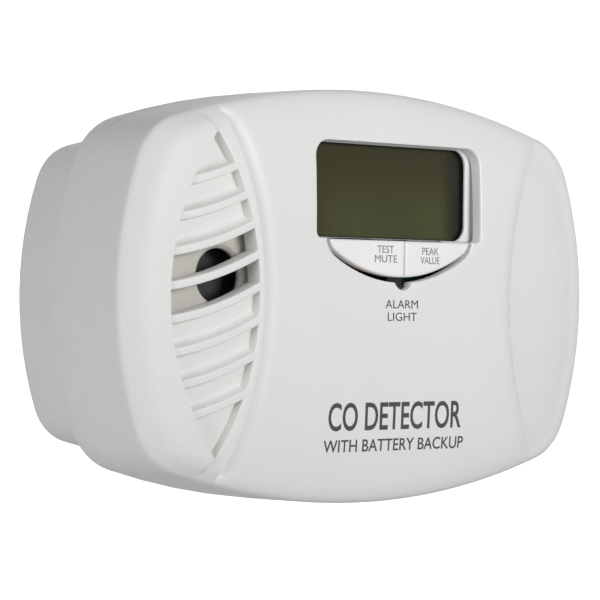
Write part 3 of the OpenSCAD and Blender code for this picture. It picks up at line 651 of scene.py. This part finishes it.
def makeFrontCover(finish):
    lean = cover["lean"]
    rim = outlineLoop(lean)
    rings = [[p * math.cos(math.radians(t)) ** (2 / cover["sidePower"]) for p in rim]
             for t in (4, 8, 13, 18, 24, 30, 37)]
    shut = [k for k in range(grille["bars"] + 1) if k not in grille["open"]]
    loops = [rim] + rings
    for grow in (grille["rim"], 0.18, 0.08, 0):
        loops += [pocketLoop(k, grow, grow, grow) for k in range(grille["bars"] + 1)]
        loops.append(displayLoop(grow * display["rim"] / grille["rim"]))
    for side, low in ((-0.1, -0.15), (-0.3, -0.4), (-0.5, -0.8), (-0.8, -1.2)):
        loops += [pocketLoop(k, side, side, low) for k in shut]
    tip = crossing(grille["leftCentre"], grille["leftRadius"], grille["rightCentre"],
                   grille["rightRadius"], grille["upperTip"]).y
    lines = []
    for off in (-0.4, -0.27, -0.13, 0):
        for ends in ((tip + 0.7, 42), (-42, -tip - 0.7)):
            lines.append(circleRun(grille["rightCentre"], grille["rightRadius"] + off, *ends, 0.7))
    for off in (-0.5, -0.35, -0.22, -0.12, 0, 0.5, 1.2):
        lines.append(circleRun(grille["bandCentre"], grille["bandRadius"] + off, -42, 42, 0.7))
    for off in (-0.3, -0.2, -0.1, 0):
        lines.append(circleRun(rightPod["centre"], rightPod["radius"] + off, -40, 40, 0.8, True))
    for k in range(grille["bars"]):
        top = grille["firstTop"] - k * grille["pitch"]
        for off in (0.1, 0.2, 0.3, 0.4):
            c, r = Vector(grille["leftCentre"]), grille["leftRadius"] + off
            ends = [crossing(c, r, barCentre(k), grille["radius"] + t, (grille["markX"] - 5, top))
                    for t in (0.35, grille["thick"] - 0.35)]
            lines.append(arcBetween(c, *ends, 0.3) + [ends[1]])
    loose = loosePoints((-width / 2, -height / 2), (width / 2, height / 2), 1.35, loops + lines, 0.75)
    loose = [p for p in loose if reach(np.array([p.x]), np.array([p.y]), lean)[0] < 0.97]

    def outside(x, z):
        return (displayDistance(x, z) < 0) | openSlots(x, z)

    bm = planMesh(loops, lines, loose, outside)
    setDepths(bm.verts, faceDepth)
    slotWalls = rimEdges(bm, lambda p: math.hypot(p.x, p.z) < 0.9 * outlineRadius(p.x, p.z, lean))
    flank = rimEdges(bm, lambda p: math.hypot(p.x, p.z) > 0.9 * outlineRadius(p.x, p.z, lean))
    print("front cover: outside", len(bm.faces), "faces,", len(slotWalls), "edges round its openings")

    # The flank runs back to the seam, where a small chamfer leaves a line
    def flankPlace(depth, inset):
        def place(p):
            k = outlineRadius(p.x, p.z, inset) / math.hypot(p.x, p.z)
            return Vector((p.x * k, -depth, p.z * k))
        return place

    for depth in (40.5, 38, 34, 29.6, seamDepth + 0.3):
        leanHere = lean * (depth - seamDepth) / (cover["crownDepth"] - seamDepth)
        flank = pulled(bm, flank, flankPlace(depth, leanHere))
    flank = pulled(bm, flank, flankPlace(seamDepth, 0.3))
    flank = pulled(bm, flank, flankPlace(seamDepth, cover["wall"]))
    inner = cover["wall"] + lean
    flank = pulled(bm, flank, flankPlace(cover["crownDepth"] - cover["wall"], inner))

    # The walls of the openings run back to the inside
    def inside(p):
        d = innerDepth(np.array([p.x]), np.array([p.z]))[0]
        return Vector((p.x, -d, p.z))

    slotWalls = pulled(bm, slotWalls, inside)

    innerRim = outlineLoop(inner)
    innerLoops = [innerRim] + [[p * math.cos(math.radians(t)) ** (2 / cover["sidePower"])
                                for p in innerRim[::2]] for t in (10, 22, 36)]
    innerLoops += [pocketLoop(k, 0, 0, 0) for k in grille["open"]] + [displayLoop(0)]
    innerLoose = loosePoints((-width / 2, -height / 2), (width / 2, height / 2), 3.2, innerLoops, 1.5)
    innerLoose = [p for p in innerLoose if reach(np.array([p.x]), np.array([p.y]), inner)[0] < 0.93]
    skin = planMesh(innerLoops, [], innerLoose, outside)
    setDepths(skin.verts, innerDepth)
    whole = bpy.data.meshes.new("inside")
    skin.to_mesh(whole)
    skin.free()
    bm.from_mesh(whole)
    bpy.data.meshes.remove(whole)
    bmesh.ops.remove_doubles(bm, verts=bm.verts, dist=0.0008)
    piece = finished(bm, "domed_front_cover", finish, 28)
    x = np.zeros(len(piece.data.vertices) * 3)
    piece.data.vertices.foreach_get("co", x)
    x = x.reshape(-1, 3) / mm
    share = podShare(x[:, 0], x[:, 2]) + rightShare(x[:, 0], x[:, 2])
    share = share + smoothStep((cover["crownDepth"] + x[:, 1]) / 2)
    share = np.maximum(share, 0.25)
    attribute = piece.data.attributes.new("grain", "FLOAT", "POINT")
    attribute.data.foreach_set("value", np.clip(share, 0, 1).astype(np.float32))
    print("front cover:", len(piece.data.polygons), "faces,", openEdges(piece), "open edges")
    return piece


view = {"turn": 0.7315, "rise": 0.00277, "roll": 0.01094, "distance": 569.6,
        "shift": (-0.960, -0.784), "aim": (0, -24, 0), "focal": 160.37}
studio = {"low": (1, 1, 1, 1), "high": (0.42, 0.43, 0.44, 1), "strength": 0.48,
          "key": (0.03, -0.33, 0.07), "keySize": 0.12, "keyPower": 0.52,
          "fill": (-1.5, -0.35, 0.1), "fillSize": 0.7, "fillPower": 6.8}


def makeCamera():
    turn, rise, roll = view["turn"], view["rise"], view["roll"]
    ahead = Vector((math.sin(turn) * math.cos(rise), math.cos(turn) * math.cos(rise), math.sin(rise)))
    right = Vector((math.cos(turn), -math.sin(turn), 0))
    up = right.cross(ahead)
    tiltRight = right * math.cos(roll) + up * math.sin(roll)
    tiltUp = up * math.cos(roll) - right * math.sin(roll)
    place = Vector(view["aim"]) - ahead * view["distance"]
    place += tiltRight * view["shift"][0] + tiltUp * view["shift"][1]
    data = bpy.data.cameras.new("camera")
    data.lens = view["focal"]
    data.sensor_width = 36
    data.clip_start = 0.01
    camera = bpy.data.objects.new("camera", data)
    bpy.context.scene.collection.objects.link(camera)
    turned = Matrix((tiltRight, tiltUp, -ahead)).transposed().to_4x4()
    camera.matrix_world = Matrix.Translation(place * mm) @ turned
    bpy.context.scene.camera = camera


def softLight(name, place, size, power):
    data = bpy.data.lights.new(name, "AREA")
    data.shape = "DISK"
    data.size = size
    data.energy = power
    lamp = bpy.data.objects.new(name, data)
    bpy.context.scene.collection.objects.link(lamp)
    lamp.location = place
    lamp.rotation_euler = (Vector((0, -0.02, 0)) - Vector(place)).to_track_quat("-Z", "Y").to_euler()


def stagePiece(name, size, place, turnX, finish):
    bm = bmesh.new()
    bmesh.ops.create_grid(bm, x_segments=1, y_segments=1, size=size)
    bmesh.ops.rotate(bm, verts=bm.verts, matrix=Matrix.Rotation(turnX, 3, "X"))
    bmesh.ops.rotate(bm, verts=bm.verts, matrix=Matrix.Rotation(-view["turn"], 3, "Z"))
    bmesh.ops.translate(bm, verts=bm.verts, vec=place)
    mesh = bpy.data.meshes.new(name)
    bm.to_mesh(mesh)
    bm.free()
    mesh.materials.append(finish)
    piece = bpy.data.objects.new(name, mesh)
    bpy.context.scene.collection.objects.link(piece)


def makeStage():
    scene = bpy.context.scene
    scene.view_settings.view_transform = "Standard"
    world = bpy.data.worlds.new("studio")
    scene.world = world
    world.use_nodes = True
    sky = world.node_tree.nodes["Background"]
    ramp = world.node_tree.nodes.new("ShaderNodeTexGradient")
    spread = world.node_tree.nodes.new("ShaderNodeMapping")
    spread.inputs["Rotation"].default_value = (0, math.pi / 2, 0)
    spread.inputs["Scale"].default_value = (0.5, 0.5, 0.5)
    spread.inputs["Location"].default_value = (0.5, 0, 0)
    direction = world.node_tree.nodes.new("ShaderNodeTexCoord")
    shade = world.node_tree.nodes.new("ShaderNodeMix")
    shade.data_type = "RGBA"
    shade.inputs[6].default_value = studio["low"]
    shade.inputs[7].default_value = studio["high"]
    join = world.node_tree.links.new
    join(direction.outputs["Generated"], spread.inputs["Vector"])
    join(spread.outputs[0], ramp.inputs[0])
    join(ramp.outputs["Fac"], shade.inputs["Factor"])
    join(shade.outputs[2], sky.inputs["Color"])
    sky.inputs["Strength"].default_value = studio["strength"]
    paper = Finish("paper", Roughness=0.9)
    paper.feed(Base_Color=paper.mix(paper.noise(0.4, 2), (0.86, 0.86, 0.86, 1), (0.9, 0.9, 0.9, 1)))
    stagePiece("floor", 4, (0, 0, -0.3), 0, paper.material)
    glow = Finish("backdrop", Roughness=1.0, Emission_Strength=1.05)
    glow.feed(Emission_Color=glow.mix(glow.noise(0.5, 1), (1, 1, 1, 1), (0.99, 0.99, 0.99, 1)))
    ahead = Vector((math.sin(view["turn"]), math.cos(view["turn"]), 0))
    stagePiece("backdrop", 1.2, ahead * 1.6, math.pi / 2, glow.material)
    softLight("key", studio["key"], studio["keySize"], studio["keyPower"])
    softLight("fill", studio["fill"], studio["fillSize"], studio["fillPower"])


makeCamera()
makeStage()
print("camera and stage made")


def copyOf(node, dissolve=1.0):
    # A merged copy of a CAD node, in metres, with its flat stretches as single faces
    bm = bmesh.new()
    bm.from_mesh(nodes[node].data)
    bmesh.ops.remove_doubles(bm, verts=bm.verts, dist=0.002 * mm)
    bmesh.ops.dissolve_limit(bm, angle_limit=math.radians(dissolve), verts=bm.verts, edges=bm.edges)
    return bm


def softened(node, name, finish, width, chosen=lambda p: True, sharp=35, segments=2):
    # A CAD node with its sharp edges rounded
    bm = copyOf(node)
    edges = [e for e in bm.edges if e.is_manifold and e.calc_face_angle(0) > math.radians(sharp)
             and chosen((e.verts[0].co + e.verts[1].co) / 2 / mm)]
    bmesh.ops.bevel(bm, geom=edges, offset=width * mm, segments=segments, profile=0.5,
                    affect="EDGES", clamp_overlap=False, material=-1)
    return finished(bm, name, finish, 40, 1)


def addRod(bm, start, end, radius, sides=32):
    start, end = Vector(start), Vector(end)
    turn = (end - start).to_track_quat("Z", "Y").to_matrix().to_4x4()
    bmesh.ops.create_cone(bm, cap_ends=True, segments=sides, radius1=radius, radius2=radius,
                          depth=(end - start).length, matrix=Matrix.Translation((start + end) / 2) @ turn)


def addBlock(bm, low, high):
    low, high = Vector(low), Vector(high)
    size = Matrix.Diagonal((*(high - low), 1))
    bmesh.ops.create_cube(bm, size=1, matrix=Matrix.Translation((low + high) / 2) @ size)


def settle(piece, body, slot, *replaced):
    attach(piece, body)
    if replaced:
        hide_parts(*replaced)
    return piece


button = {"split": 6.9, "centreZ": 39.9, "radius": 35.8, "half": 20.4, "end": 4.4, "top": 11.7,
          "gap": 0.2, "back": 45.1, "front": 47.35, "round": 0.7, "raised": 0.35, "pivotZ": 10.5,
          "pivotDepth": 43.7, "switchX": 8, "switchZ": 6.9, "pegDepth": 41.7}


def buttonLoop(side, inset, step=0.5):
    c, r = Vector((display["x"], button["centreZ"])), button["radius"] - inset
    end = button["end"] - inset
    tip = smileEnds(r, c.y, button["half"] - inset, end)[max(side, 0)]
    join = c + (tip - c).normalized() * r
    top = button["top"] - inset
    edge = button["split"] + side * (button["gap"] + inset)
    outer = Vector((tip.x + side * math.sqrt(end ** 2 - (top - tip.y) ** 2), top))
    lower = Vector((edge, c.y - math.sqrt(r ** 2 - (edge - c.x) ** 2)))
    corner = Vector((edge, top))
    curved = arcBetween(tip, outer, join, step) + arcBetween(c, join, lower, step)
    return curved + lineBetween(lower, corner, step) + lineBetween(corner, outer, step)


def beyondButtons(x, z):
    return smileDistance(x, z, button["radius"], button["centreZ"], button["half"], button["end"])


def buttonDepth(side, x, z):
    edge = button["split"] + side * button["gap"]
    inside = np.minimum(button["top"] - z, side * (x - edge))
    inside = np.minimum(inside, -beyondButtons(x, z))
    front = button["front"] - button["round"] * 0.8 * quarterRound(np.maximum(inside, 0), button["round"])
    if side < 0:
        front = front + button["raised"] * smoothStep((x - button["split"] + 15) / 15)
    return front


def makeButton(side, name, finish):
    loops = [buttonLoop(side, i) for i in (0, 0.08, 0.2, 0.36, 0.55, 0.8)]
    middle = display["x"] + side * 10
    loose = loosePoints((middle - 11, 4), (middle + 11, 11.5), 0.9, loops, 0.4)
    loose = [p for p in loose if buttonDepth(side, np.array([p.x]), np.array([p.y]))[0] >= button["front"]
             and 0.9 < side * (p.x - button["split"]) and p.y < button["top"] - 0.9
             and beyondButtons(np.array([p.x]), np.array([p.y]))[0] < -0.9]

    def outside(x, z):
        acrossSplit = side * (x - button["split"]) < button["gap"]
        return (beyondButtons(x, z) > 0) | (z > button["top"]) | acrossSplit

    bm = planMesh(loops, [], loose, outside)
    setDepths(bm.verts, lambda x, z: buttonDepth(side, x, z))
    rim = pulled(bm, rimEdges(bm), lambda p: Vector((p.x, -button["back"], p.z)))
    bmesh.ops.contextual_create(bm, geom=rim)
    pivot = display["x"] + side * (button["switchX"] + 2)
    deep, high = -button["pivotDepth"], button["pivotZ"]
    addRod(bm, (pivot - 5, deep, high), (pivot + 5, deep, high), 0.8)
    for end in (-4.4, 4.4):
        addBlock(bm, (pivot + end - 0.7, -button["back"] - 0.1, high - 0.8),
                 (pivot + end + 0.7, deep, high + 0.8))
    peg = display["x"] + side * button["switchX"]
    addRod(bm, (peg, -button["pegDepth"], button["switchZ"]),
           (peg, -button["back"] - 0.1, button["switchZ"]), 1)
    return finished(bm, name, finish, 38)


def makeLabel(name, words, finish, place, size, across, depthAt, body, bold=0.0):
    # Printed words that lie on a curved face; across is the printed width
    data = bpy.data.curves.new(name, "FONT")
    data.body = words
    data.size = size
    data.align_x = "CENTER"
    data.align_y = "CENTER"
    data.extrude = 0.03
    data.offset = bold
    data.resolution_u = 4
    text = bpy.data.objects.new(name, data)
    bpy.context.scene.collection.objects.link(text)
    bpy.context.view_layer.update()
    mesh = bpy.data.meshes.new_from_object(text.evaluated_get(bpy.context.evaluated_depsgraph_get()))
    bpy.data.objects.remove(text)
    bpy.data.curves.remove(data)
    bm = bmesh.new()
    bm.from_mesh(mesh)
    bpy.data.meshes.remove(mesh)
    bmesh.ops.remove_doubles(bm, verts=bm.verts, dist=0.002)
    long = [e for e in bm.edges if e.calc_length() > 1.0]
    bmesh.ops.subdivide_edges(bm, edges=long, cuts=2)
    bmesh.ops.triangulate(bm, faces=bm.faces)
    spread = max(v.co.x for v in bm.verts) - min(v.co.x for v in bm.verts)
    flat = np.array([v.co[:] for v in bm.verts])
    x = place[0] + flat[:, 0] * across / spread
    z = place[1] + flat[:, 1]
    for v, px, pz, lift, d in zip(bm.verts, x, z, flat[:, 2], depthAt(x, z)):
        v.co = (px, -d - lift, pz)
    piece = finished(bm, name, finish, 30)
    return settle(piece, body, "black_plastic")


offWhite = (0.80, 0.80, 0.78)
greyWhite = (0.77, 0.775, 0.76)
whitePlastic = (0.88, 0.88, 0.87)

frontCover = makeFrontCover(coverFinish("coverPlastic", offWhite))
settle(frontCover, "housing", "cover_plastic", "front_cover")

buttonWhite = moulded("buttonPlastic", whitePlastic, 0.26, 0.5, 0.004, 0.5, 0.015)
settle(makeButton(-1, "left_lever_button", buttonWhite), "left_button", "button_plastic", "test_button")
settle(makeButton(1, "right_lever_button", buttonWhite), "right_button", "button_plastic", "peak_button")
print("buttons made")

rear = {"screwX": 47, "screwZ": 22, "screwHole": 2.9, "plugZ": 17, "plugHole": 14}


def rearEdges(p):
    # The edges of the back and its round holes, of the step and of the rim
    depth, far = -p.y, reach(np.array([p.x]), np.array([p.z]), 0)[0]
    if depth < 0.05:
        atScrew = math.hypot(abs(p.x) - rear["screwX"], abs(p.z) - rear["screwZ"]) - rear["screwHole"]
        atPlug = math.hypot(p.x, p.z - rear["plugZ"]) - rear["plugHole"]
        return far > 0.86 or abs(atScrew) < 0.3 or abs(atPlug) < 0.4
    return far > 0.985 and (abs(depth - 23) < 0.1 or abs(depth - 29) < 0.1)


rearCover = softened("rear_cover", "rear_housing", moulded("rearPlastic", greyWhite, 0.5, 0.5, 0.014),
                     0.4, rearEdges, 30, 3)
settle(rearCover, "housing", "rear_plastic", "rear_cover")
print("rear cover:", openEdges(rearCover), "open edges")

bezelPlastic = moulded("bezelPlastic", (0.78, 0.79, 0.79), 0.3, 0.5, 0.004, 0.5)
bezel = softened("display_bezel", "display_surround", bezelPlastic, 0.25,
                 lambda p: -p.y > 43.4 and abs(p.x - display["x"]) < 23.5 and p.z > 11.5)
settle(bezel, "housing", "bezel_plastic", "display_bezel")
print("bezel:", openEdges(bezel), "open edges")

hornPlastic = moulded("hornPlastic", (0.60, 0.58, 0.53), 0.4, 0.4, 0.01)
hornCup = softened("horn_housing", "horn_cup", hornPlastic, 0.15, lambda p: -p.y > 41)
settle(hornCup, "housing", "horn_plastic", "horn_housing")
print("horn:", openEdges(hornCup), "open edges")

doorPlastic = moulded("doorPlastic", greyWhite, 0.5, 0.5, 0.014)
door = softened("battery_door", "battery_cover_door", doorPlastic, 0.3,
                lambda p: -p.y < 0.6 and p.x > -28)
settle(door, "door", "rear_plastic", "battery_door")
print("door:", openEdges(door), "open edges")

# Finishes for the nodes that stay as they are
shown = (Vector((display["x"] - 22.45, 12.1)) * mm, Vector((display["x"] + 22.45, 31.6)) * mm)
blackPlastic = moulded("blackPlastic", (0.035, 0.035, 0.04), 0.45, 0.4, 0.015, 0.4, 0.2)
innerWhite = moulded("innerPlastic", (0.8, 0.8, 0.78), 0.5, 0.5, 0.01)
zinc = metal("zincPlate", (0.6, 0.61, 0.62), 0.32)
brassPlate = metal("brassPlate", (0.72, 0.56, 0.28), 0.28, 0.4, 1)
bronze = metal("springBronze", (0.7, 0.42, 0.24), 0.3)
nickel = metal("nickelPlate", (0.62, 0.61, 0.58), 0.24, 0.5, 1)
redPlastic = moulded("redPlastic", (0.5, 0.03, 0.025), 0.3, 0.5, 0.005, 0.5)
blackWire = rubber("blackInsulation", (0.025, 0.025, 0.025))
nodeFinishes = {
    "display_window": clearSheet("clearSheet", (0.02, 0.02, 0.015)),
    "lcd_panel": liquidCrystal("liquidCrystal", *shown),
    "lcd_holder": innerWhite, "lcd_connector": rubber("contactRubber", (0.03, 0.03, 0.032)),
    "switch_bodies": blackPlastic, "microcontroller": blackPlastic,
    "test_plunger": redPlastic, "peak_plunger": redPlastic, "alarm_led": redPlastic,
    "alarm_light_pipe": moulded("lightPipe", (0.02, 0.02, 0.02), 0.3, 0.6, 0.004, 0.5, 0.01),
    "circuit_board": solderMask("solderMask", (0.02, 0.13, 0.055)),
    "cover_screws": zinc, "board_screws": zinc, "retainer_screws": zinc, "door_pin": zinc,
    "film_capacitor": moulded("yellowDip", (0.68, 0.45, 0.05), 0.3, 0.8, 0.02, 0.5, 0.08),
    "electrolytic_capacitors": banded("capacitorSleeve", (0.03, 0.04, 0.1), (0.55, 0.57, 0.6), 0, 9, 0.2),
    "varistor": moulded("blueDip", (0.03, 0.12, 0.38), 0.3, 0.8, 0.02, 0.5, 0.1),
    "fuse": banded("fuseBody", (0.7, 0.7, 0.64), (0.5, 0.5, 0.52), 0, 16, 0.25, 0.35),
    "horn_coil": banded("coilWinding", (0.35, 0.13, 0.05), (0.5, 0.22, 0.1), 1, 0.5, 1.0, 0.4),
    "horn_base": blackPlastic, "piezo_disc": blackPlastic,
    "co_sensor": nickel, "battery_springs": nickel,
    "plug_disc": moulded("plugPlastic", (0.78, 0.78, 0.76), 0.48, 0.5, 0.012),
    "plug_blades": metal("bladeBrass", (0.72, 0.64, 0.46), 0.26, 0.6, 1),
    "plug_contacts": brassPlate, "wiper_contacts": bronze, "battery_plates": nickel,
    "plug_retainer": innerWhite,
    "ac_leads": blackWire, "battery_leads": rubber("redInsulation", (0.4, 0.02, 0.015)),
    "battery_cells": banded("cellSleeve", (0.05, 0.06, 0.08), (0.45, 0.46, 0.47), 0, 34, 0.6, 0.25),
}
for node, finish in nodeFinishes.items():
    for place in nodes[node].material_slots:
        place.material = finish
    nodes[node].data.shade_smooth()
print("finishes on", len(nodeFinishes), "nodes")

labelInk = ink("labelInk", (0.075, 0.078, 0.085))
paleInk = ink("paleInk", (0.2, 0.2, 0.21))
leftFace = lambda x, z: buttonDepth(-1, x, z)
rightFace = lambda x, z: buttonDepth(1, x, z)
makeLabel("label_test", "TEST", paleInk, (1.2, 9.75), 2.2, 4.6, leftFace, "left_button")
makeLabel("label_mute", "MUTE", paleInk, (1.3, 7.8), 2.2, 6.2, leftFace, "left_button")
makeLabel("label_peak", "PEAK", paleInk, (14.4, 9.6), 2.2, 4.8, rightFace, "right_button")
makeLabel("label_value", "VALUE", paleInk, (14.4, 7.7), 2.2, 5.6, rightFace, "right_button")
makeLabel("label_alarm", "ALARM", labelInk, (6.4, -1.6), 2.5, 9.4, faceDepth, "housing")
makeLabel("label_light", "LIGHT", labelInk, (6.4, -4.2), 2.5, 8.4, faceDepth, "housing")
makeLabel("label_title", "CO DETECTOR", labelInk, (5.2, -25.0), 8.0, 38.4, faceDepth, "housing", 0.12)
makeLabel("label_subtitle", "WITH BATTERY BACKUP", labelInk, (5.4, -30.8), 3.6, 40.4, faceDepth,
          "housing", 0.03)
print("labels made")
